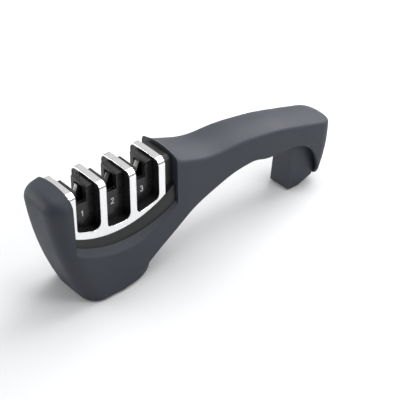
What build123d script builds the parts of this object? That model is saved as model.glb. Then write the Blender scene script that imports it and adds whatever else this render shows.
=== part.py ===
from build123d import *
import os
from math import atan2, copysign, cos, degrees, radians, sin, sqrt, tan

# Three-stage pull-through knife sharpener, millimetres, +Z up, resting on z = 0.
# +X runs from the bow over the three slots to the end of the handle.

# ---------------------------------------------------------------- driving values
wall = 2.2
seat = 0.15

# sharpening module: four arches with three windows between them
head_x = -57.4
arch_pitch = 19.1
strip_width = 4.2
fin_width = 3.6
end_block_length = 6.0
arch_x = [head_x + (i - 1.5) * arch_pitch for i in range(4)]
window_x = [head_x + (i - 1) * arch_pitch for i in range(3)]
module_left = arch_x[0] - strip_width / 2
trim_right = arch_x[3] + strip_width / 2
module_right = trim_right + end_block_length
bow_back_x = module_left - seat
root_x = module_right + seat

# tub: plan outline, side draft and bow rake
base_z = 0.8
tub_half = 18.3
tub_draft = tan(radians(1.77))
bow_round = 10.0
bow_tip_x = -100.3
rake_radius = 200.0
rake_tip_z = 62.0
rake_center_z = 89.8
bow_top_z = 72.6
bow_top_slope = 0.22
bow_crown_radius = 38.0
bow_edge_round = 7.0
crown_edge_round = 2.5
lower_edge_round = 1.0

# heel of the tub: the rear of the footprint is half an ellipse
heel_x = -58.65
heel_length = 26.2
heel_half = 17.9
heel_height = 13.0

# seam arc of the tub rim, lower arc of the bright band, window floor arc (x, lowest z, radius)
rim_arc = (-52.95, 29.4, 62.0)
band_arc = (head_x, 36.0, 58.0)
sill_arc = (-53.95, 40.2, 70.0)
rim_opening_half = 13.5
rim_chamfer = 3.9
lip_depth = 6.5

# handle
neck_start_x = -54.25
neck_points = [(-34.25, 1.3), (-16.25, 15.0), (3.75, 13.9)]
grip_x = 25.75
neck_end_x = 70.0
handle_half = 13.2
tail_half = 13.0
tail_round = 9.0
tail_levels = [(-1.0, 87.2), (8.0, 91.7), (16.0, 94.8), (24.0, 96.9), (32.0, 97.9), (48.0, 98.6),
               (bow_top_z + 3.4, 98.9)]
underside = [(-58.65, 0.8), (-48.3, 6.0), (-37.95, 11.7), (-29.75, 15.9), (-19.5, 21.3), (-9.8, 26.9),
             (8.2, 33.2), (22.15, 36.7), (30.05, 37.5), (38.45, 37.2), (44.65, 35.3), (53.0, 34.4),
             (65.95, 33.7)]
fold = [(65.95, 33.7), (74.2, 31.1), (81.2, 25.1), (85.2, 16.1), (86.8, 8.7), (87.6, 4.4)]
tip_z = 4.4
# crown of the handle: x, crown height, height of its side edge
crown = [(root_x, 67.9, 64.9), (-10.25, 62.8, 59.4), (-0.25, 59.2, 56.1), (11.75, 57.1, 54.2),
         (23.75, 56.8, 54.1), (36.75, 55.5, 52.8), (49.75, 53.3, 50.7), (61.75, 50.5, 48.0),
         (71.75, 47.7, 45.3), (80.75, 45.2, 42.8), (87.75, 43.1, 40.7), (92.75, 41.7, 39.3),
         (96.25, 40.2, 37.8), (98.55, 38.4, 36.0), (103.0, 32.0, 29.6)]
crown_half = [(-54.25, 17.0), (-34.25, 16.2), (root_x, 15.4), (-16.25, 15.0), (3.75, 13.9),
              (grip_x, handle_half), (neck_end_x, tail_half), (103.0, tail_half)]

# screw posts inside the tub and bosses inside the handle
post_x = [-74.0, -47.0]
post_y = 10.6
post_radius = 3.2
plate_top_z = 3.0
module_bottom_z = 22.0
screw_radius = 1.45
screw_slack = 0.05
case_head_radius = 2.6
case_head_height = 1.2
case_screw_top = 29.0
boss_x = [1.75, 51.75]
boss_seat_z = [33.1, 36.5]
boss_radius = 3.4
cover_head_radius = 2.4
cover_head_height = 1.1
cover_boss_height = 2.4
cover_screw_length = 12.0

# cover under the handle with the foot
cover_front_x = -24.1
handle_open_z = 44.0
cover_thickness = 2.0
cover_slack = 0.12
foot_inner_x = 68.05
foot_lean = 3.8
foot_half = 7.7
foot_land = 8.0
foot_gap = 0.3
foot_wall = 2.0
foot_heel_x = 87.45
sole_slope = 15.0
foot_top_z = 35.0
pad_height = base_z
pad_inset = 3.5

# module parts
trim_half = 12.5
trim_thickness = 0.9
arch_top_z = 70.8
crest_fall = 0.055
arch_crown = 0.4
arch_round = 4.0
window_round_front = 2.6
window_round_rear = 4.0
skirt_top_half = 12.6
skirt_half = 13.4
skirt_run = 6.0
module_hollow_half = 7.4
module_toe_z = 24.5
module_hollow_top = 33.5
pocket_floor_z = 36.5
end_block_half = 10.6
end_block_drop = 2.2

# guide inserts and the abrasive stages
insert_half_y = 6.6
insert_drop = 2.5
insert_slack = 0.1
slot_width = 6.2
slot_depth = 9.2
slot_mouth = 0.4
stage_half_x = 6.2
stage_half_y = 3.4
stage_roof = 2.0
cross_drop = slot_depth + 4.5
holder_drop = cross_drop + 3.0
stage_tilt = 21.5
stage_down = 7.0
stage_up = 11.0
rod_radius = 1.2
rod_y = 1.5
plate_width = 3.0
plate_depth = 2.2
bore_slack = 0.04

# numerals on the front of the inserts
digit_height = 3.2
digit_width = 1.7
digit_stroke = 0.5
digit_relief = 0.25
digit_drop = 15.25

# sizes of cutting blocks that reach past the whole body
far = 120.0
wide = 30.0


# ---------------------------------------------------------------- helpers
def arc_z(arc, x):
    center_x, low, radius = arc
    return low + radius - sqrt(radius**2 - (x - center_x) ** 2)


def span(x0, x1, half, z0, z1):
    return Pos((x0 + x1) / 2, 0, (z0 + z1) / 2) * Box(x1 - x0, 2 * half, z1 - z0)


def upright(x, y, radius, z0, z1):
    return Pos(x, y, (z0 + z1) / 2) * Cylinder(radius, z1 - z0)


def side_prism(edges, half=wide):
    return extrude(Plane.XZ * Face(Wire(edges)), amount=half, both=True)


def across(profile, x0, x1):
    frame = Plane(origin=(x0, 0, 0), x_dir=(0, 1, 0), z_dir=(1, 0, 0))
    return extrude(frame * profile, amount=x1 - x0, dir=(1, 0, 0))


def arc_disc(arc, half, grow=0.0):
    center_x, low, radius = arc
    return Pos(center_x, 0, low + radius) * Rot(90, 0, 0) * Cylinder(radius + grow, 2 * half)


def arc_cone(arc, y0, y1, grow):
    # cone about the arc's own axis that widens from y0 to y1, on both sides of the module
    center_x, low, radius = arc
    cone = Rot(-90, 0, 0) * Cone(radius, radius + grow, y1 - y0)
    one = Pos(center_x, (y0 + y1) / 2, low + radius) * cone
    return one + mirror(one, Plane.XZ)


def lookup(table, x):
    for (x0, v0), (x1, v1) in zip(table, table[1:]):
        if x0 <= x <= x1:
            return v0 + (v1 - v0) * (x - x0) / (x1 - x0)
    raise ValueError(x)


# ---------------------------------------------------------------- outline of the body
def plan_face(level, tail_x, inset):
    rake_center_x = bow_tip_x + sqrt(rake_radius**2 - (rake_center_z - rake_tip_z) ** 2)
    front = rake_center_x - sqrt(rake_radius**2 - (rake_center_z - level) ** 2) + inset
    width = tub_half - tub_draft * (level - base_z) - inset
    corner = bow_round - inset
    grip = handle_half - inset
    tail = tail_half - inset
    back = tail_x - inset
    turn = tail_round - inset
    (flare_x, flare_drop), (mid_x, mid_half), (slim_x, slim_half) = neck_points
    neck = [(neck_start_x, width), (flare_x, width - flare_drop), (mid_x, mid_half - inset),
            (slim_x, slim_half - inset), (grip_x, grip), (neck_end_x, tail)]
    half = Wire([
        Line((front, 0), (front, width - corner)),
        RadiusArc((front, width - corner), (front + corner, width), corner),
        Line((front + corner, width), (neck_start_x, width)),
        Spline(neck, tangents=[(1, 0), (1, 0)]),
        Line((neck_end_x, tail), (back - turn, tail)),
        RadiusArc((back - turn, tail), (back, tail - turn), turn),
        Line((back, tail - turn), (back, 0)),
    ])
    return Pos(0, 0, level) * Face(Wire(half.edges() + half.mirror(Plane.XZ).edges()))


def plan_body(inset):
    return loft([plan_face(level, tail_x, inset) for level, tail_x in tail_levels])


def crown_body(inset):
    sections = []
    for x, top, edge in crown:
        grip = lookup(crown_half, x)
        half = grip + 1.0
        low = top - (top - edge) * (half / grip) ** 2 - inset
        arch = ThreePointArc((-half, low), (0, top - inset), (half, low))
        sides = [Line((half, low), (half, -far / 10)), Line((half, -far / 10), (-half, -far / 10)),
                 Line((-half, -far / 10), (-half, low))]
        frame = Plane(origin=(x, 0, 0), x_dir=(0, 1, 0), z_dir=(1, 0, 0))
        sections.append(frame * Face(Wire([arch] + sides)))
    return loft(sections)


def above_underside(rise, x0, x1):
    # everything above the handle's underside curve raised by rise, between x0 and x1
    curve = Pos(0, rise) * Spline(underside)
    start, end = curve @ 0, curve @ 1
    block = side_prism([curve, Line(end, (far, end.Y)), Line((far, end.Y), (far, far)),
                        Line((far, far), (start.X, far)), Line((start.X, far), start)])
    return block & span(x0, x1, wide, -5, far)


def bow_limit():
    # everything under the bow's crowned top, and all that lies behind the bow
    tilt = atan2(bow_top_slope, 1)
    roll = Rot(0, 90 - degrees(tilt), 0) * Cylinder(bow_crown_radius, 2 * far)
    crest = Pos(bow_back_x, 0, bow_top_z - bow_crown_radius / cos(tilt)) * roll
    below = span(-far, bow_back_x, wide, -far / 10, bow_top_z / 2)
    return crest + below + span(bow_back_x, far, wide, -far / 10, far)


def heel_prism(inset, z0, z1):
    ellipse = Ellipse(heel_length - inset, heel_half - inset)
    return Pos(heel_x, 0, z0) * extrude(ellipse, amount=z1 - z0)


def outer_body():
    rim_left = (bow_back_x, arc_z(rim_arc, bow_back_x))
    rim_right = (root_x, arc_z(rim_arc, root_x))
    bow_front = (-far, bow_top_z - bow_top_slope * (far + bow_back_x))
    profile = side_prism([
        Line((-far, base_z), underside[0]),
        Spline(underside),
        Spline(fold),
        Line(fold[-1], (far, tip_z)),
        Line((far, tip_z), (far, far)),
        Line((far, far), (root_x, far)),
        Line((root_x, far), rim_right),
        ThreePointArc(rim_right, (rim_arc[0], rim_arc[1]), rim_left),
        Line(rim_left, (bow_back_x, bow_top_z)),
        Line((bow_back_x, bow_top_z), bow_front),
        Line(bow_front, (-far, base_z)),
    ])
    shape = (plan_body(0) & profile) & (crown_body(0) + span(-far, root_x, wide, -far / 10, far))
    shape = shape & bow_limit()
    rim_cut = arc_cone(rim_arc, tub_half - rim_chamfer - 0.8, tub_half + rim_chamfer, 2 * rim_chamfer + 0.8)
    return shape - (rim_cut & span(bow_back_x, root_x, wide, 0, far))


def is_bow_top(box):
    return box.min.Z > bow_top_z - 10 and box.min.X < bow_back_x - 0.5


def is_crown_side(box):
    behind_root = box.min.X > root_x - 0.1 and box.max.X > root_x + 1
    return behind_root and box.min.Z > crown[-1][1] and foot_top_z < box.max.Z < crown[0][2] + 2


def is_lower_edge(box):
    beside = box.min.Y > 1 or box.max.Y < -1
    run_x = box.max.X - box.min.X
    base = box.max.Z < base_z + 0.05 and box.min.X < heel_x - 0.05
    neck = beside and box.min.X > heel_x - 0.05 and box.max.X < underside[-1][0] + 0.1
    neck = neck and run_x > 3 and base_z + 1 < box.max.Z < 37
    hook = beside and box.min.X > fold[0][0] - 0.1 and box.max.X < fold[-1][0] + 0.1
    hook = hook and run_x > 1.5 and tip_z + 0.6 < box.max.Z < 32
    return base or neck or hook


def rounded_body():
    body = outer_body()
    for wanted, radius in ((is_bow_top, bow_edge_round), (is_crown_side, crown_edge_round),
                           (is_lower_edge, lower_edge_round)):
        body = fillet([edge for edge in body.edges() if wanted(edge.bounding_box())], radius)
    heel = heel_prism(0, base_z, heel_height)
    heel = fillet(heel.edges().sort_by(Axis.Z)[:1], lower_edge_round)
    return body + (heel & plan_body(0))


# ---------------------------------------------------------------- body shell
def tub_cavity(inset, bottom):
    left = bow_back_x - wall
    right = root_x + wall
    rise = inset * 1.18
    lip_low = rim_arc[1] - lip_depth
    lip = [arc_z(rim_arc, x) - lip_depth for x in (left, right)]
    ceiling = bow_top_z - bow_edge_round - wall
    return side_prism([
        Line((-far, bottom), (underside[0][0], bottom)),
        Line((underside[0][0], bottom), (underside[0][0], underside[0][1] + rise)),
        Pos(0, rise) * Spline(underside),
        Line((underside[-1][0], underside[-1][1] + rise), (far, underside[-1][1] + rise)),
        Line((far, underside[-1][1] + rise), (far, far)),
        Line((far, far), (right, far)),
        Line((right, far), (right, lip[1])),
        ThreePointArc((right, lip[1]), (rim_arc[0], lip_low), (left, lip[0])),
        Line((left, lip[0]), (left, ceiling)),
        Line((left, ceiling), (-far, ceiling - 4)),
        Line((-far, ceiling - 4), (-far, bottom)),
    ])


def cavity_body():
    below = -1.0
    inner = tub_cavity(wall, below) + heel_prism(wall, below, heel_height)
    inner = inner + span(cover_front_x - seat, far, wide, below, handle_open_z)
    limit = crown_body(wall) + span(-far, root_x + wall, wide, -far / 10, far)
    return (plan_body(wall) & inner) & limit


def make_body_shell():
    body = rounded_body()
    cavity = cavity_body()
    opening = span(bow_back_x, root_x, rim_opening_half, rim_arc[1] - lip_depth - 1, far)
    shell = body - cavity - opening
    rib = Box(wall, tub_half - post_y, module_bottom_z - plate_top_z)
    rib_y = (post_y + tub_half) / 2
    rib_z = (plate_top_z + module_bottom_z) / 2
    posts = []
    for x, y in post_places():
        posts.append(upright(x, y, post_radius, plate_top_z, module_bottom_z))
        posts.append(Pos(x, copysign(rib_y, y), rib_z) * rib)
    shell = shell + (sum_of(posts) & body)
    bosses = [upright(x, 0, boss_radius, seat_z + cover_boss_height, far / 2)
              for x, seat_z in boss_places()]
    shell = shell + (sum_of(bosses) & crown_body(wall / 2))
    return shell - screw_holes()


def sum_of(shapes):
    total = shapes[0]
    for shape in shapes[1:]:
        total = total + shape
    return total


def post_places():
    return [(x, side * post_y) for x in post_x for side in (1, -1)]


def boss_places():
    return list(zip(boss_x, boss_seat_z))


def screw_holes():
    bore = screw_radius + screw_slack
    holes = [upright(x, y, bore, -1, case_screw_top + 1) for x, y in post_places()]
    for x, seat_z in boss_places():
        holes.append(upright(x, 0, bore, seat_z - 5, seat_z + cover_screw_length + 1))
    return sum_of(holes)


# ---------------------------------------------------------------- base
def make_base_plate():
    footprint = plan_body(wall + seat) & (side_prism([
        Line((-far, base_z), (heel_x, base_z)),
        Line((heel_x, base_z), (heel_x, plate_top_z)),
        Line((heel_x, plate_top_z), (-far, plate_top_z)),
        Line((-far, plate_top_z), (-far, base_z)),
    ]) + heel_prism(wall + seat, base_z, plate_top_z))
    heads = [upright(x, y, case_head_radius + seat, 0, base_z + case_head_height) for x, y in post_places()]
    return footprint - sum_of(heads) - screw_holes()


def make_base_pad():
    footprint = span(-far, heel_x, wide, 0, pad_height) + heel_prism(pad_inset, 0, pad_height)
    return plan_body(pad_inset) & footprint


def make_case_screws():
    screws = []
    for x, y in post_places():
        head = upright(x, y, case_head_radius, base_z, base_z + case_head_height)
        screws.append(head + upright(x, y, screw_radius, base_z, case_screw_top))
    return sum_of(screws)


# ---------------------------------------------------------------- cover under the handle and foot
def make_under_cover():
    neck_x = foot_inner_x + foot_lean + foot_wall
    skin = above_underside(0, cover_front_x, neck_x)
    plate = skin - above_underside(cover_thickness, cover_front_x - 1, far)
    bosses = [upright(x, 0, boss_radius, seat_z - 4, seat_z + cover_boss_height)
              for x, seat_z in boss_places()]
    plate = (plate + (sum_of(bosses) & skin)) & plan_body(wall + cover_slack)
    sole_end = tip_z + (far - foot_heel_x) * tan(radians(sole_slope))
    sole = [(foot_inner_x, base_z), (foot_inner_x + foot_land, base_z), (foot_heel_x, tip_z),
            (far, sole_end), (far, foot_top_z), (foot_inner_x + foot_lean, foot_top_z)]
    block = side_prism([Line(a, b) for a, b in zip(sole, sole[1:] + sole[:1])], foot_half)
    foot = block & plan_body(wall + foot_gap)
    hollow = span(neck_x, far, foot_half - foot_wall, tip_z + foot_wall, far)
    hollow = hollow & plan_body(wall + foot_gap + foot_wall)
    cover = (plate + foot) - hollow
    heads = [upright(x, 0, cover_head_radius + seat, 0, seat_z) for x, seat_z in boss_places()]
    return cover - sum_of(heads) - screw_holes()


def make_foot_pad():
    middle = foot_inner_x + foot_land / 2
    pad = Box(foot_land - 1.2, 2 * (foot_half - 1.2), pad_height)
    pad = fillet(pad.edges().filter_by(Axis.Z), 1.5)
    return Pos(middle, 0, pad_height / 2) * pad


def make_cover_screws():
    screws = []
    for x, seat_z in boss_places():
        head = upright(x, 0, cover_head_radius, seat_z - cover_head_height, seat_z)
        shaft = upright(x, 0, screw_radius, seat_z - cover_head_height, seat_z + cover_screw_length)
        screws.append(head + shaft)
    return sum_of(screws)


# ---------------------------------------------------------------- module frame and bright trim
def crest_z(x):
    # the tops of the arches lie on a line that falls a little toward the handle
    return arch_top_z - crest_fall * (x - arch_x[0])


def arch_profile(x, inset):
    half = trim_half - inset
    top = crest_z(x) - inset
    edge = top - arch_crown
    outline = Wire([
        Line((-half, 0), (-half, edge)),
        ThreePointArc((-half, edge), (0, top), (half, edge)),
        Line((half, edge), (half, 0)),
        Line((half, 0), (-half, 0)),
    ])
    face = Face(outline)
    corners = [v for v in face.vertices() if v.Y > edge - 1]
    return fillet(corners, arch_round - inset)


def window_prism(x, half_width, corners):
    left, right = x - half_width, x + half_width
    low_left, low_right = arc_z(sill_arc, left), arc_z(sill_arc, right)
    face = Face(Wire([
        Line((left, far), (left, low_left)),
        ThreePointArc((left, low_left), (x, arc_z(sill_arc, x)), (right, low_right)),
        Line((right, low_right), (right, far)),
        Line((right, far), (left, far)),
    ]))
    for side, corner in zip((-1, 1), corners):
        face = fillet([v for v in face.vertices() if v.Y < far / 2 and side * (v.X - x) > half_width - 0.1],
                      corner)
    return extrude(Plane.XZ * face, amount=wide, both=True)


def make_module_trim():
    inner_half = trim_half - trim_thickness
    cheek_top = crest_z(trim_right) - 2 * arch_round
    cheeks = span(module_left, trim_right, trim_half, 0, cheek_top)
    cheeks = cheeks - span(module_left, trim_right, inner_half, 0, far)
    corners = (window_round_front, window_round_rear)
    windows = [window_prism(x, (arch_pitch - strip_width) / 2, corners) for x in window_x]
    trim = (cheeks & arc_disc(band_arc, wide)) - sum_of(windows)
    for x in arch_x:
        left, right = x - strip_width / 2, x + strip_width / 2
        strap = across(arch_profile(x, 0), left, right) - across(arch_profile(x, trim_thickness), left, right)
        trim = trim + (strap & span(left, right, wide, cheek_top - 1, far))
    return trim


def make_module_frame():
    end_block_top = crest_z(arch_x[3]) - end_block_drop
    core = span(module_left, module_right, trim_half - trim_thickness, module_bottom_z, end_block_top)
    core = core - arc_disc(sill_arc, wide)
    fins = [across(arch_profile(x, trim_thickness), x - fin_width / 2, x + fin_width / 2) for x in arch_x]
    fins = sum_of(fins) & span(module_left, module_right, wide, module_bottom_z + 1, far)
    end_block = span(arch_x[3], module_right, end_block_half, module_bottom_z, end_block_top)
    end_block = fillet(end_block.edges().filter_by(Axis.X).sort_by(Axis.Z)[-2:], arch_round)
    skirt = span(module_left, module_right, skirt_half, module_bottom_z, end_block_top)
    flank = arc_cone(band_arc, skirt_top_half, skirt_half + 1, 2 * skirt_run)
    skirt = skirt - arc_disc(band_arc, wide) - flank
    frame = core + fins + end_block + skirt
    hollow = span(post_x[0], arch_x[3] + fin_width, module_hollow_half, 0, module_hollow_top)
    pocket_half = (arch_pitch - fin_width) / 2
    pockets = [span(x - pocket_half, x + pocket_half, insert_half_y + insert_slack, pocket_floor_z, far)
               for x in window_x]
    toe = span(trim_right, far, wide, 0, module_toe_z)
    return frame - hollow - toe - sum_of(pockets) - screw_holes()


# ---------------------------------------------------------------- guide inserts and stages
def insert_top_z(x):
    return crest_z(x) - insert_drop


def make_guide_insert(x):
    top = insert_top_z(x)
    half = (arch_pitch - fin_width) / 2 - insert_slack
    block = span(x - half, x + half, insert_half_y, pocket_floor_z, top)
    slot = span(x - slot_width / 2, x + slot_width / 2, wide, top - slot_depth, far)
    stage = span(x - stage_half_x, x + stage_half_x, stage_half_y, 0, top - stage_roof)
    insert = block - slot - stage
    top_edges = [edge for edge in insert.edges().filter_by(Axis.Y) if (edge @ 0).Z > top - 0.01]
    return chamfer(top_edges, slot_mouth)


def tilted(x, side, shape):
    crossing = Pos(x, side * rod_y, insert_top_z(x) - cross_drop) * Rot(0, side * stage_tilt, 0)
    return crossing * Pos(0, 0, (stage_up - stage_down) / 2) * shape


def round_stage(grow=0.0):
    return Cylinder(rod_radius + grow, stage_up + stage_down)


def flat_stage(grow=0.0):
    return Box(plate_width + 2 * grow, plate_depth + 2 * grow, stage_up + stage_down)


def make_holder(x, stage):
    half = stage_half_x - insert_slack
    top = insert_top_z(x) - holder_drop
    block = span(x - half, x + half, stage_half_y - insert_slack, pocket_floor_z, top)
    return block - tilted(x, 1, stage(bore_slack)) - tilted(x, -1, stage(bore_slack))


# ---------------------------------------------------------------- numerals
def bow_points(half_width, middle, half_height, start, stop):
    # points on a bowed stroke, from the start angle to the stop angle
    angles = [radians(a) for a in range(start, stop, -40)]
    return [(half_width * cos(a), middle + half_height * sin(a)) for a in angles]


def digit_points(number):
    w, h = digit_width / 2, digit_height / 2
    if number == 1:
        return [(-w * 0.6, h * 0.55), (0.1, h), (0.1, -h)]
    if number == 2:
        return bow_points(0.95 * w, 0.5 * h, 0.5 * h, 160, -41) + [(-w, -h), (w, -h)]
    return bow_points(0.9 * w, 0.52 * h, 0.48 * h, 150, -91) + bow_points(w, -0.48 * h, 0.52 * h, 90, -151)


def make_digit(number, x):
    points = digit_points(number)
    strokes = []
    for a, b in zip(points, points[1:]):
        length = sqrt((b[0] - a[0]) ** 2 + (b[1] - a[1]) ** 2)
        if length > 0.05:
            middle = ((a[0] + b[0]) / 2, (a[1] + b[1]) / 2)
            turn = degrees(atan2(b[1] - a[1], b[0] - a[0]))
            strokes.append(Pos(*middle) * Rot(0, 0, turn) * SlotCenterToCenter(length, digit_stroke))
    digit_z = insert_top_z(x) - digit_drop
    front = Plane(origin=(x, -insert_half_y, digit_z), x_dir=(1, 0, 0), z_dir=(0, -1, 0))
    return extrude(front * sum_of(strokes), amount=digit_relief)


# ---------------------------------------------------------------- write every piece
os.makedirs("parts", exist_ok=True)

pieces = {
    "body_shell": make_body_shell(),
    "under_cover": make_under_cover(),
    "base_plate": make_base_plate(),
    "base_pad": make_base_pad(),
    "foot_pad": make_foot_pad(),
    "module_frame": make_module_frame(),
    "module_trim": make_module_trim(),
    "case_screws": make_case_screws(),
    "cover_screws": make_cover_screws(),
}
stages = [("carbide", "plate", flat_stage), ("diamond", "rod", round_stage), ("ceramic", "rod", round_stage)]
for number, (x, (kind, shape, stage)) in enumerate(zip(window_x, stages), start=1):
    pieces[f"guide_insert_{number}"] = make_guide_insert(x)
    pieces[f"stage_digit_{number}"] = make_digit(number, x)
    pieces[f"{kind}_holder"] = make_holder(x, stage)
    pieces[f"{kind}_{shape}_left"] = tilted(x, 1, stage())
    pieces[f"{kind}_{shape}_right"] = tilted(x, -1, stage())

middle = pieces["body_shell"].bounding_box().center().X
for name, piece in pieces.items():
    piece = Pos(-middle, 0, 0) * piece
    export_step(piece, f"parts/{name}.step")
    box = piece.bounding_box()
    print(f"{name:22s} solids {len(piece.solids())} valid {piece.is_valid} volume {piece.volume:10.1f}",
          f"x {box.min.X:8.2f} {box.max.X:8.2f} y {box.min.Y:7.2f} {box.max.Y:7.2f}",
          f"z {box.min.Z:6.2f} {box.max.Z:6.2f}")
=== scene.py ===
# %% [markdown]
# A three-stage knife sharpener in Blender
#
# The object is a hand-sized tool: a boat-shaped tub carries a module with three slots
# under bright arches, and the tub's rear draws out into an arched handle with a foot.
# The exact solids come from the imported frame. This lesson gives them their finishes,
# softens the moulded edges, and lights the whole like a small product on a pale table.

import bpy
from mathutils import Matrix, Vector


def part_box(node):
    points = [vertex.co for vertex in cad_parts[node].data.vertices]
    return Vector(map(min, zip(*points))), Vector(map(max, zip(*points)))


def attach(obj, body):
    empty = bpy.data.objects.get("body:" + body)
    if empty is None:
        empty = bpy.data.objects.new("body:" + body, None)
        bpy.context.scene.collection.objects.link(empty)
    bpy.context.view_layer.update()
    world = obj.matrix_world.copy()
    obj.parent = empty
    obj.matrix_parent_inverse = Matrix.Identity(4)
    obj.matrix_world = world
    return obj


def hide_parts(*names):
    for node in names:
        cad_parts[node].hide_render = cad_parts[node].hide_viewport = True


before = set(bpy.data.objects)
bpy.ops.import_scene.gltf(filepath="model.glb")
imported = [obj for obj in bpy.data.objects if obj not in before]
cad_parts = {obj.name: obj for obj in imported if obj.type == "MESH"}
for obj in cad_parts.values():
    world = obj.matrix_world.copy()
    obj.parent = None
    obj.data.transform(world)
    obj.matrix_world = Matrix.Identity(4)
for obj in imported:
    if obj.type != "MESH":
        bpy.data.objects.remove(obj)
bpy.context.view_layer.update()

# %% Modules and units
import math

import bpy
from mathutils import Vector

MM = 0.001

# %% [markdown]
# The camera
#
# A small object seen from about 0.8 m through a long lens keeps its lines nearly
# parallel. A camera could be dragged into place by hand, but then nobody can repeat it.
# Here four values place it: the point it looks at, its turn, its rise and its distance.

# %% Camera
TURN, RISE = math.radians(40.233), math.radians(36.093)
AIM = Vector((8.76, 0.0, 17.596)) * MM
DISTANCE = 800.104 * MM
LENS, SENSOR = 129.5, 36.0
NEAREST, FURTHEST = 0.05, 20.0
away = Vector((-math.sin(TURN) * math.cos(RISE), -math.cos(TURN) * math.cos(RISE), math.sin(RISE)))

bpy.ops.object.select_all(action="DESELECT")
bpy.ops.object.camera_add(location=AIM + away * DISTANCE)
camera = bpy.context.object
camera.name = "camera"
camera.rotation_euler = (-away).to_track_quat("-Z", "Y").to_euler()
camera.data.sensor_width = SENSOR
camera.data.lens = LENS
camera.data.clip_start = NEAREST
camera.data.clip_end = FURTHEST
bpy.context.scene.camera = camera
print("camera", [round(v, 4) for v in camera.location], "lens", camera.data.lens)

# %% [markdown]
# The table
#
# The table is one plain pale sheet, wide enough that its rim never shows. It is nearly
# matte, so that it gives the tool a soft bounce of light from below and no mirror image.

# %% Table
TABLE_SIDE = 8.0

bpy.ops.object.select_all(action="DESELECT")
bpy.ops.mesh.primitive_plane_add(size=TABLE_SIDE, location=(0, 0, 0))
table = bpy.context.object
table.name = "table"
table_paint = bpy.data.materials.new("table_paint")
table_paint.use_nodes = True
table_shader = table_paint.node_tree.nodes["Principled BSDF"]
table_shader.inputs["Base Color"].default_value = (0.66, 0.665, 0.67, 1)
table_shader.inputs["Roughness"].default_value = 0.8
table_shader.inputs["Specular IOR Level"].default_value = 0.1
table.data.materials.append(table_paint)
print("table", table.dimensions[:])

# %% [markdown]
# Studio light
#
# A dark matte body needs broad, soft light, or it turns into a black outline. A few small
# lamps would draw hard shadows and sharp glints, so large panels are used instead. The two
# strong ones stand overhead and to the right, where they brighten the top of the handle.
# Two weaker ones open the front side and the left of the bow. The last two only keep the
# rear and the far shoulder from going black, and a pale world fills what is left.

# %% A light panel aimed at the tool
LOOK_AT = Vector((0.0, 0.0, 0.03))


def add_panel(name, direction, distance, size, power):
    # stand a rectangle of light in that direction from the tool and turn it to face back
    bpy.ops.object.select_all(action="DESELECT")
    place = LOOK_AT + Vector(direction).normalized() * distance
    bpy.ops.object.light_add(type="AREA", location=place)
    panel = bpy.context.object
    panel.name = name
    panel.data.shape = "RECTANGLE"
    panel.data.size, panel.data.size_y = size
    panel.data.energy = power
    panel.rotation_euler = (-Vector(direction)).to_track_quat("-Z", "Y").to_euler()
    return panel


# %% The two strong panels
add_panel("overhead_panel", (0.25, 0.05, 0.95), distance=1.1, size=(1.0, 1.0), power=8.4)
add_panel("right_panel", (0.80, 0.15, 0.55), distance=1.0, size=(0.80, 0.60), power=8.7)

# %% The side panels and the weak fills
add_panel("front_panel", (0.36, -0.70, 0.62), distance=1.0, size=(0.45, 0.40), power=4.0)
add_panel("left_panel", (-0.72, 0.66, 0.20), distance=0.9, size=(0.6, 0.35), power=3.5)
add_panel("back_panel", (-0.35, 0.88, 0.32), distance=1.1, size=(0.7, 0.4), power=2.5)
add_panel("top_fill", (0.52, 0.64, 0.56), distance=1.0, size=(0.8, 0.6), power=0.5)

# %% The pale world
world = bpy.data.worlds.new("studio")
world.use_nodes = True
world.node_tree.nodes["Background"].inputs["Color"].default_value = (1.0, 1.0, 1.0, 1)
world.node_tree.nodes["Background"].inputs["Strength"].default_value = 0.42
bpy.context.scene.world = world
bpy.context.scene.view_settings.view_transform = "Standard"
print("world", world.name)

# %% [markdown]
# Shared effects
#
# Moulded plastic is never one flat colour: the mould leaves a fine grain, and handling
# leaves faint patches, a little paler and duller. Polished metal shows short hairlines.
# Each material could hold its own copy of these nodes, but then a change has to be made
# many times. So each effect is one node group with named inputs, used wherever it fits.

# %% Node helpers
def new_group(name, inputs, outputs):
    group = bpy.data.node_groups.new(name, "ShaderNodeTree")
    for kind, title, value in inputs:
        socket = group.interface.new_socket(title, in_out="INPUT", socket_type="NodeSocket" + kind)
        socket.default_value = value
    for kind, title in outputs:
        group.interface.new_socket(title, in_out="OUTPUT", socket_type="NodeSocket" + kind)
    entry = group.nodes.new("NodeGroupInput")
    leave = group.nodes.new("NodeGroupOutput")
    return group, entry, leave


def add_node(tree, kind, values=None, **settings):
    node = tree.nodes.new(kind)
    for key, value in settings.items():
        setattr(node, key, value)
    for key, value in (values or {}).items():
        node.inputs[key].default_value = value
    return node


# %% Mould grain: noise and rounded cells, read as a very low relief
GRAIN_HEIGHT = 0.12 * MM
NOISE_SHARE = 0.5


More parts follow.
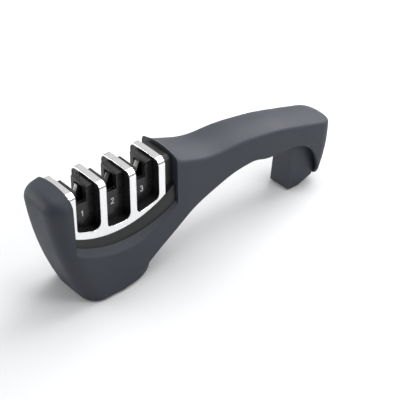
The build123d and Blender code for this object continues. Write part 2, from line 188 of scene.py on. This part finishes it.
def make_mould_grain():
    group, entry, leave = new_group(
        "mould_grain",
        [("Float", "Scale", 3000.0), ("Float", "Depth", 0.1)],
        [("Vector", "Normal")],
    )
    place = add_node(group, "ShaderNodeTexCoord")
    fine = add_node(group, "ShaderNodeTexNoise", {"Detail": 3.0, "Roughness": 0.6})
    cells = add_node(group, "ShaderNodeTexVoronoi", feature="SMOOTH_F1")
    blend = add_node(group, "ShaderNodeMath", {1: NOISE_SHARE}, operation="MULTIPLY_ADD")
    bump = add_node(group, "ShaderNodeBump", {"Distance": GRAIN_HEIGHT})
    link = group.links.new
    link(place.outputs["Object"], fine.inputs["Vector"])
    link(place.outputs["Object"], cells.inputs["Vector"])
    link(entry.outputs["Scale"], fine.inputs["Scale"])
    link(entry.outputs["Scale"], cells.inputs["Scale"])
    link(fine.outputs["Fac"], blend.inputs[0])
    link(cells.outputs["Distance"], blend.inputs[2])
    link(blend.outputs[0], bump.inputs["Height"])
    link(entry.outputs["Depth"], bump.inputs["Strength"])
    link(bump.outputs["Normal"], leave.inputs["Normal"])
    return group


mould_grain = make_mould_grain()
print("group", mould_grain.name)

# %% Handling: broad faint patches that change colour and roughness a little
FLECK_SCALE, FLECK_SHARE, FLECK_SHIFT = 900.0, 0.35, -0.12


def make_handling():
    group, entry, leave = new_group(
        "handling",
        [("Color", "Colour", (0.05, 0.05, 0.06, 1)), ("Color", "Worn Colour", (0.08, 0.08, 0.09, 1)),
         ("Float", "Roughness", 0.5), ("Float", "Roughness Change", 0.1), ("Float", "Scale", 60.0),
         ("Float", "Amount", 0.3)],
        [("Color", "Colour"), ("Float", "Roughness")],
    )
    place = add_node(group, "ShaderNodeTexCoord")
    broad = add_node(group, "ShaderNodeTexNoise", {"Detail": 4.0, "Roughness": 0.55, "Distortion": 0.4})
    fine = add_node(group, "ShaderNodeTexNoise", {"Scale": FLECK_SCALE, "Detail": 2.0})
    patches = add_node(group, "ShaderNodeMapRange", {"From Min": 0.35, "From Max": 0.7})
    flecks = add_node(group, "ShaderNodeMath", {1: FLECK_SHARE, 2: FLECK_SHIFT}, operation="MULTIPLY_ADD")
    total = add_node(group, "ShaderNodeMath", operation="ADD", use_clamp=True)
    share = add_node(group, "ShaderNodeMath", operation="MULTIPLY", use_clamp=True)
    mix = add_node(group, "ShaderNodeMix", data_type="RGBA")
    rough = add_node(group, "ShaderNodeMath", operation="MULTIPLY_ADD")
    link = group.links.new
    link(place.outputs["Object"], broad.inputs["Vector"])
    link(place.outputs["Object"], fine.inputs["Vector"])
    link(entry.outputs["Scale"], broad.inputs["Scale"])
    link(broad.outputs["Fac"], patches.inputs["Value"])
    link(fine.outputs["Fac"], flecks.inputs[0])
    link(patches.outputs["Result"], total.inputs[0])
    link(flecks.outputs[0], total.inputs[1])
    link(total.outputs[0], share.inputs[0])
    link(entry.outputs["Amount"], share.inputs[1])
    link(share.outputs[0], mix.inputs["Factor"])
    link(entry.outputs["Colour"], mix.inputs["A"])
    link(entry.outputs["Worn Colour"], mix.inputs["B"])
    link(mix.outputs["Result"], leave.inputs["Colour"])
    link(total.outputs[0], rough.inputs[0])
    link(entry.outputs["Roughness Change"], rough.inputs[1])
    link(entry.outputs["Roughness"], rough.inputs[2])
    link(rough.outputs[0], leave.inputs["Roughness"])
    return group


handling = make_handling()
print("group", handling.name)

# %% Hairlines: noise drawn out into short lines that roughen a bright surface
HAIRLINE_DEPTH = 0.04 * MM


def make_hairlines():
    group, entry, leave = new_group(
        "hairlines",
        [("Vector", "Stretch", (1.0, 1.0, 1.0)), ("Float", "Roughness", 0.1),
         ("Float", "Roughness Change", 0.1), ("Float", "Depth", 0.02)],
        [("Float", "Roughness"), ("Vector", "Normal"), ("Float", "Mask")],
    )
    place = add_node(group, "ShaderNodeTexCoord")
    stretch = add_node(group, "ShaderNodeVectorMath", operation="MULTIPLY")
    lines = add_node(group, "ShaderNodeTexNoise", {"Scale": 400.0, "Detail": 5.0, "Roughness": 0.7})
    mask = add_node(group, "ShaderNodeMapRange", {"From Min": 0.4, "From Max": 0.75})
    rough = add_node(group, "ShaderNodeMath", operation="MULTIPLY_ADD")
    bump = add_node(group, "ShaderNodeBump", {"Distance": HAIRLINE_DEPTH})
    link = group.links.new
    link(place.outputs["Object"], stretch.inputs[0])
    link(entry.outputs["Stretch"], stretch.inputs[1])
    link(stretch.outputs["Vector"], lines.inputs["Vector"])
    link(lines.outputs["Fac"], mask.inputs["Value"])
    link(mask.outputs["Result"], rough.inputs[0])
    link(entry.outputs["Roughness Change"], rough.inputs[1])
    link(entry.outputs["Roughness"], rough.inputs[2])
    link(mask.outputs["Result"], bump.inputs["Height"])
    link(entry.outputs["Depth"], bump.inputs["Strength"])
    link(rough.outputs[0], leave.inputs["Roughness"])
    link(bump.outputs["Normal"], leave.inputs["Normal"])
    link(mask.outputs["Result"], leave.inputs["Mask"])
    return group


hairlines = make_hairlines()
print("group", hairlines.name)

# %% [markdown]
# Plastics
#
# The housing feels like a soft-touch coat over hard plastic: dark slate and matte. The
# module is harder and blacker, and the guides in the slots are polished black. They
# differ only in numbers, so one function joins grain and handling to a Principled shader
# and each plastic calls it. Numbers that are the same all over stay on the shader.

# %% A plastic from its colours, roughness and grain
def make_plastic(name, colour, worn, roughness, change, grain, depth, amount=0.3, patch=60.0,
                 sheen=0.0, specular=0.5):
    material = bpy.data.materials.new(name)
    material.use_nodes = True
    tree = material.node_tree
    shader = tree.nodes["Principled BSDF"]
    touch = add_node(tree, "ShaderNodeGroup")
    touch.node_tree = handling
    touch.inputs["Colour"].default_value = (*colour, 1)
    touch.inputs["Worn Colour"].default_value = (*worn, 1)
    touch.inputs["Roughness"].default_value = roughness
    touch.inputs["Roughness Change"].default_value = change
    touch.inputs["Scale"].default_value = patch
    touch.inputs["Amount"].default_value = amount
    texture = add_node(tree, "ShaderNodeGroup")
    texture.node_tree = mould_grain
    texture.inputs["Scale"].default_value = grain
    texture.inputs["Depth"].default_value = depth
    tree.links.new(touch.outputs["Colour"], shader.inputs["Base Color"])
    tree.links.new(touch.outputs["Roughness"], shader.inputs["Roughness"])
    tree.links.new(texture.outputs["Normal"], shader.inputs["Normal"])
    shader.inputs["Specular IOR Level"].default_value = specular
    shader.inputs["Sheen Weight"].default_value = sheen
    return material


# %% The housing's soft-touch coat
soft_touch = make_plastic("soft_touch_slate", (0.0235, 0.0275, 0.0375), (0.032, 0.037, 0.048),
                          roughness=0.54, change=0.08, grain=2600.0, depth=0.14,
                          amount=0.35, patch=45.0, specular=0.36)
print("made", soft_touch.name)

# %% The black plastics: module, inner pieces and polished guides
module_black = make_plastic("module_black", (0.010, 0.010, 0.0105), (0.018, 0.018, 0.019),
                            roughness=0.30, change=0.12, grain=2200.0, depth=0.08,
                            amount=0.4, patch=90.0, specular=0.34)
inner_black = make_plastic("inner_black", (0.014, 0.014, 0.015), (0.03, 0.03, 0.031),
                           roughness=0.5, change=0.1, grain=1800.0, depth=0.12)
gloss_black = make_plastic("gloss_black_guide", (0.006, 0.006, 0.0065), (0.011, 0.011, 0.012),
                           roughness=0.24, change=0.12, grain=1500.0, depth=0.03,
                           amount=0.5, patch=160.0, specular=0.40)
print("made", module_black.name, inner_black.name, gloss_black.name)

# %% Pad rubber, numeral paint and ceramic
pad_rubber = make_plastic("pad_rubber", (0.012, 0.012, 0.012), (0.035, 0.034, 0.033),
                          roughness=0.72, change=0.12, grain=1100.0, depth=0.5,
                          amount=0.5, patch=120.0, sheen=0.1)
numeral_paint = make_plastic("numeral_paint", (0.60, 0.60, 0.61), (0.42, 0.42, 0.43),
                             roughness=0.4, change=0.15, grain=2500.0, depth=0.08,
                             amount=0.5, patch=700.0)
ceramic_white = make_plastic("ceramic_white", (0.70, 0.69, 0.66), (0.52, 0.50, 0.47),
                             roughness=0.42, change=0.15, grain=2600.0, depth=0.25,
                             amount=0.45, patch=260.0)
print("made", pad_rubber.name, numeral_paint.name, ceramic_white.name)

# %% [markdown]
# Metals
#
# The arches are bright plated plastic: a mirror with very faint waviness and hairlines
# from wiping. The stage pieces are ground hard metal, and steel with a coat of grit. A
# plain metal shader would look too perfect, so the hairlines change its roughness, its
# tint and its relief together.

# %% A metal from its colour, roughness and hairlines
WIPED_TINT = 0.82


def make_metal(name, colour, roughness, change, stretch, depth):
    material = bpy.data.materials.new(name)
    material.use_nodes = True
    tree = material.node_tree
    shader = tree.nodes["Principled BSDF"]
    shader.inputs["Metallic"].default_value = 1.0
    lines = add_node(tree, "ShaderNodeGroup")
    lines.node_tree = hairlines
    lines.inputs["Stretch"].default_value = stretch
    lines.inputs["Roughness"].default_value = roughness
    lines.inputs["Roughness Change"].default_value = change
    lines.inputs["Depth"].default_value = depth
    tint = add_node(tree, "ShaderNodeMix", data_type="RGBA")
    tint.inputs["A"].default_value = (*colour, 1)
    tint.inputs["B"].default_value = (*[c * WIPED_TINT for c in colour], 1)
    tree.links.new(lines.outputs["Mask"], tint.inputs["Factor"])
    tree.links.new(tint.outputs["Result"], shader.inputs["Base Color"])
    tree.links.new(lines.outputs["Roughness"], shader.inputs["Roughness"])
    tree.links.new(lines.outputs["Normal"], shader.inputs["Normal"])
    return material


# %% Bright plating, ground carbide and screw steel
bright_plating = make_metal("bright_plating", (0.90, 0.90, 0.91), roughness=0.08, change=0.14,
                            stretch=(5.0, 0.6, 0.6), depth=0.08)
ground_carbide = make_metal("ground_carbide", (0.82, 0.82, 0.84), roughness=0.24, change=0.2,
                            stretch=(8.0, 1.0, 1.0), depth=0.3)
screw_steel = make_metal("screw_steel", (0.50, 0.50, 0.52), roughness=0.3, change=0.2,
                         stretch=(3.0, 3.0, 1.0), depth=0.2)
print("made", bright_plating.name, ground_carbide.name, screw_steel.name)

# %% Grit-coated steel: a speckle of hard grains takes the place of the hairlines' relief
GRAINS_PER_METRE, GRIT_HEIGHT, GRIT_STRENGTH = 4200.0, 0.1 * MM, 0.6


def make_grit():
    material = make_metal("diamond_grit", (0.30, 0.30, 0.32), roughness=0.42, change=0.2,
                          stretch=(1.0, 1.0, 1.0), depth=0.2)
    tree = material.node_tree
    shader = tree.nodes["Principled BSDF"]
    place = add_node(tree, "ShaderNodeTexCoord")
    grains = add_node(tree, "ShaderNodeTexVoronoi", {"Scale": GRAINS_PER_METRE})
    bump = add_node(tree, "ShaderNodeBump", {"Distance": GRIT_HEIGHT, "Strength": GRIT_STRENGTH})
    tree.links.new(place.outputs["Object"], grains.inputs["Vector"])
    tree.links.new(grains.outputs["Distance"], bump.inputs["Height"])
    tree.links.new(bump.outputs["Normal"], shader.inputs["Normal"])
    return material


diamond_grit = make_grit()
print("made", diamond_grit.name)

# %% [markdown]
# Finishes for the solids
#
# Each solid of the frame keeps its shape and only changes its finish. The finish goes
# into the material slots that the solid already has, so its mesh isn't touched, and the
# rounded copies made later take it along.

# %% Dress a solid of the frame
def dress(node, material):
    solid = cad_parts[node]
    if not solid.data.materials:
        solid.data.materials.append(material)
    for index in range(len(solid.data.materials)):
        solid.data.materials[index] = material


# %% Which finish each solid gets
finishes = {
    "body_shell": soft_touch, "under_cover": soft_touch,
    "base_plate": inner_black, "base_pad": pad_rubber, "foot_pad": pad_rubber,
    "module_frame": module_black, "module_trim": bright_plating,
    "carbide_holder": inner_black, "diamond_holder": inner_black, "ceramic_holder": inner_black,
    "case_screws": screw_steel, "cover_screws": screw_steel,
}
for number in (1, 2, 3):
    finishes[f"guide_insert_{number}"] = gloss_black
    finishes[f"stage_digit_{number}"] = numeral_paint
for side in ("left", "right"):
    finishes[f"carbide_plate_{side}"] = ground_carbide
    finishes[f"diamond_rod_{side}"] = diamond_grit
    finishes[f"ceramic_rod_{side}"] = ceramic_white
for node, material in finishes.items():
    dress(node, material)
print("dressed", len(finishes), "of", len(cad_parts), "solids")

# %% [markdown]
# Softened edges
#
# Plated and moulded parts have small rounded edges that catch the light. They could be
# faked in the shading, but a real bevel also shows in the outline and in the mesh itself.
# So a copy of the solid is merged, its flat faces are joined again, a bevel rounds
# every sharp edge, and the large flat faces keep their own straight normals.

# %% A merged copy of a solid, left in edit mode
MERGE_DISTANCE = 0.002 * MM
FLAT_WITHIN = math.radians(0.5)


def copy_of(node, name):
    bpy.ops.object.select_all(action="DESELECT")
    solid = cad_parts[node]
    bpy.context.view_layer.objects.active = solid
    solid.select_set(True)
    bpy.ops.object.duplicate()
    piece = bpy.context.object
    piece.name = name
    for key in [key for key in piece.keys() if key.startswith("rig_")]:
        del piece[key]
    bpy.ops.object.mode_set(mode="EDIT")
    bpy.ops.mesh.select_all(action="SELECT")
    bpy.ops.mesh.remove_doubles(threshold=MERGE_DISTANCE)
    bpy.ops.mesh.dissolve_limited(angle_limit=FLAT_WITHIN)
    bpy.ops.mesh.select_mode(type="FACE")
    return piece


# %% Hang a piece under the root and hide the solid it replaces
def stand_for(piece, node):
    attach(piece, "root")
    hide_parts(node)
    print(piece.name, len(piece.data.polygons), "faces")


# %% A rounded copy that stands for its solid
SMOOTH_UNDER = math.radians(35)


def softened(node, name, width, segments=2, sharp=28.0):
    # the width is in millimetres, and sharp is the least turn in degrees that is rounded
    piece = copy_of(node, name)
    bpy.ops.object.mode_set(mode="OBJECT")
    bevel = piece.modifiers.new("edge", "BEVEL")
    bevel.width = width * MM
    bevel.segments = segments
    bevel.limit_method = "ANGLE"
    bevel.angle_limit = math.radians(sharp)
    bevel.use_clamp_overlap = True
    bpy.ops.object.modifier_apply(modifier=bevel.name)
    bpy.ops.object.shade_smooth_by_angle(angle=SMOOTH_UNDER)
    even = piece.modifiers.new("even_light", "WEIGHTED_NORMAL")
    even.keep_sharp = True
    bpy.ops.object.modifier_apply(modifier=even.name)
    stand_for(piece, node)


# %% The bright arches and the black module
softened("module_trim", "bright_arches", width=0.28, segments=3)
softened("module_frame", "module_body", width=0.25)

# %% The handle's cover, the tub's floor and the foot's cushion
softened("under_cover", "handle_cover", width=0.35, sharp=40.0)
softened("base_plate", "tub_floor", width=0.2)
softened("foot_pad", "foot_cushion", width=0.2)

# %% Blade guides with well-rounded edges, and their numerals
for number in (1, 2, 3):
    softened(f"guide_insert_{number}", f"slot_guide_{number}", width=0.9, segments=4)
    softened(f"stage_digit_{number}", f"numeral_{number}", width=0.06, segments=1)

# %% The blocks and the abrasive pieces that they hold
for kind in ("carbide", "diamond", "ceramic"):
    softened(f"{kind}_holder", f"{kind}_block", width=0.3)
for side in ("left", "right"):
    softened(f"carbide_plate_{side}", f"carbide_blade_{side}", width=0.12)
    softened(f"diamond_rod_{side}", f"grit_rod_{side}", width=0.25)
    softened(f"ceramic_rod_{side}", f"fine_rod_{side}", width=0.25)

# %% [markdown]
# The sole pad
#
# A non-slip pad is moulded with a raised rim and a field of low ribs, so that it bends
# and grips. The ribs could be a bump in the material, but the underside is where the tool
# meets the table, so they are cut for real: the underside is inset and sunk inside its
# rim, cut into strips, and every other strip is drawn back down.

# %% Select faces by their place and direction
def pick_faces(piece, wanted):
    # select the faces for which wanted(centre, normal) is true, and count them
    bpy.ops.object.mode_set(mode="OBJECT")
    count = 0
    for face in piece.data.polygons:
        face.select = bool(wanted(face.center, face.normal))
        count += face.select
    bpy.ops.object.mode_set(mode="EDIT")
    return count


def looks_down(centre, normal):
    return normal.z < -0.9


def looks_up(centre, normal):
    return normal.z > 0.9


# %% Sink the pad's underside inside a rim
RIM, RIB_PITCH, RIB_DEPTH = 1.8 * MM, 2.4 * MM, 0.3 * MM

pad = copy_of("base_pad", "sole_pad")
pad_low, pad_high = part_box("base_pad")
bpy.ops.mesh.select_all(action="DESELECT")
print("undersides", pick_faces(pad, looks_down))
bpy.ops.mesh.inset(thickness=RIM)
bpy.ops.mesh.extrude_region_move(TRANSFORM_OT_translate={"value": (0, 0, RIB_DEPTH)})


# %% Cut it into strips and draw every other strip down
def is_sunk(centre, normal):
    return looks_down(centre, normal) and centre.z > pad_low[2] + RIB_DEPTH / 2


def is_rib(centre, normal):
    strip = int((centre.x - pad_low[0] - RIM) / (RIB_PITCH / 2))
    return is_sunk(centre, normal) and strip % 2 == 1


cut = pad_low[0] + RIM + RIB_PITCH
while cut < pad_high[0] - RIM:
    pick_faces(pad, is_sunk)
    bpy.ops.mesh.bisect(plane_co=(cut, 0, 0), plane_no=(1, 0, 0))
    cut += RIB_PITCH / 2
print("ribs", pick_faces(pad, is_rib))
bpy.ops.mesh.extrude_region_move(TRANSFORM_OT_translate={"value": (0, 0, -RIB_DEPTH)})
bpy.ops.object.mode_set(mode="OBJECT")
bpy.ops.object.shade_smooth_by_angle(angle=math.radians(30))
stand_for(pad, "base_pad")

# %% [markdown]
# Screws
#
# Each screw has a low rounded head with a cross recess, as a screwdriver needs it. A
# thread would never be seen, so the shaft stays smooth. It is drawn out of the head's
# back face, the rim of the head is bevelled, and a small bar cuts each slot of the cross.
# One screw of each kind is made, and the others are copies of it.

# %% One slot of the cross recess, sized as shares of the head's radius
RECESS_LENGTH, RECESS_WIDTH = 1.25, 0.28


def cut_recess(screw, place, turn, head_radius, head_height):
    bpy.ops.object.select_all(action="DESELECT")
    bpy.ops.mesh.primitive_cube_add(
        size=1.0, location=place, rotation=(0, 0, math.radians(turn)),
        scale=(RECESS_LENGTH * head_radius, RECESS_WIDTH * head_radius, head_height))
    bar = bpy.context.object
    cutter = screw.modifiers.new("recess", "BOOLEAN")
    cutter.operation = "DIFFERENCE"
    cutter.object = bar
    bpy.context.view_layer.objects.active = screw
    bpy.ops.object.modifier_apply(modifier=cutter.name)
    bpy.data.objects.remove(bar, do_unlink=True)


# %% One screw, head down
HEAD_SIDES, HEAD_ROUND = 40, 0.35


def make_screw(name, place, head_radius, head_height, shaft_radius, length):
    x, y, low = place
    bpy.ops.object.select_all(action="DESELECT")
    bpy.ops.mesh.primitive_cylinder_add(vertices=HEAD_SIDES, radius=head_radius, depth=head_height,
                                        location=(x, y, low + head_height / 2))
    screw = bpy.context.object
    screw.name = name
    bpy.ops.object.transform_apply(location=True, rotation=True, scale=True)
    bpy.ops.object.mode_set(mode="EDIT")
    bpy.ops.mesh.select_mode(type="FACE")
    pick_faces(screw, looks_up)
    bpy.ops.mesh.inset(thickness=head_radius - shaft_radius)
    bpy.ops.mesh.extrude_region_move(TRANSFORM_OT_translate={"value": (0, 0, length - head_height)})
    pick_faces(screw, looks_down)
    bpy.ops.mesh.bevel(offset=HEAD_ROUND * head_height, segments=4, affect="EDGES")
    bpy.ops.object.mode_set(mode="OBJECT")
    for turn in (0, 90):
        cut_recess(screw, place, turn, head_radius, head_height)
    screw.select_set(True)
    bpy.ops.object.shade_smooth_by_angle(angle=SMOOTH_UNDER)
    screw.data.materials.append(screw_steel)
    return screw


# %% Copies, and a set of screws as one piece
def copy_screw(screw, shift):
    bpy.ops.object.select_all(action="DESELECT")
    bpy.context.view_layer.objects.active = screw
    screw.select_set(True)
    bpy.ops.object.duplicate()
    twin = bpy.context.object
    twin.location = shift
    bpy.ops.object.transform_apply(location=True, rotation=False, scale=False)
    return twin


def screw_set(screws, name, node):
    bpy.ops.object.select_all(action="DESELECT")
    for screw in screws:
        screw.select_set(True)
    bpy.context.view_layer.objects.active = screws[0]
    bpy.ops.object.join()
    group = bpy.context.object
    group.name = name
    stand_for(group, node)


# %% The four case screws, at the corners of their solid's box
CASE_HEAD, CASE_HEAD_HEIGHT, SHAFT = 2.6 * MM, 1.2 * MM, 1.45 * MM

low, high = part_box("case_screws")
start = (low[0] + CASE_HEAD, low[1] + CASE_HEAD, low[2])
run, breadth = high[0] - low[0] - 2 * CASE_HEAD, high[1] - low[1] - 2 * CASE_HEAD
first = make_screw("case_screw", start, CASE_HEAD, CASE_HEAD_HEIGHT, SHAFT, high[2] - low[2])
others = [copy_screw(first, shift) for shift in ((run, 0, 0), (0, breadth, 0), (run, breadth, 0))]
screw_set([first] + others, "case_screw_set", "case_screws")

# %% The two cover screws, the rear one higher up
COVER_HEAD, COVER_HEAD_HEIGHT, COVER_LENGTH = 2.4 * MM, 1.1 * MM, 13.1 * MM

low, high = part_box("cover_screws")
start = (low[0] + COVER_HEAD, 0, low[2])
step = (high[0] - low[0] - 2 * COVER_HEAD, 0, high[2] - low[2] - COVER_LENGTH)
first = make_screw("cover_screw", start, COVER_HEAD, COVER_HEAD_HEIGHT, SHAFT, COVER_LENGTH)
screw_set([first, copy_screw(first, step)], "cover_screw_set", "cover_screws")
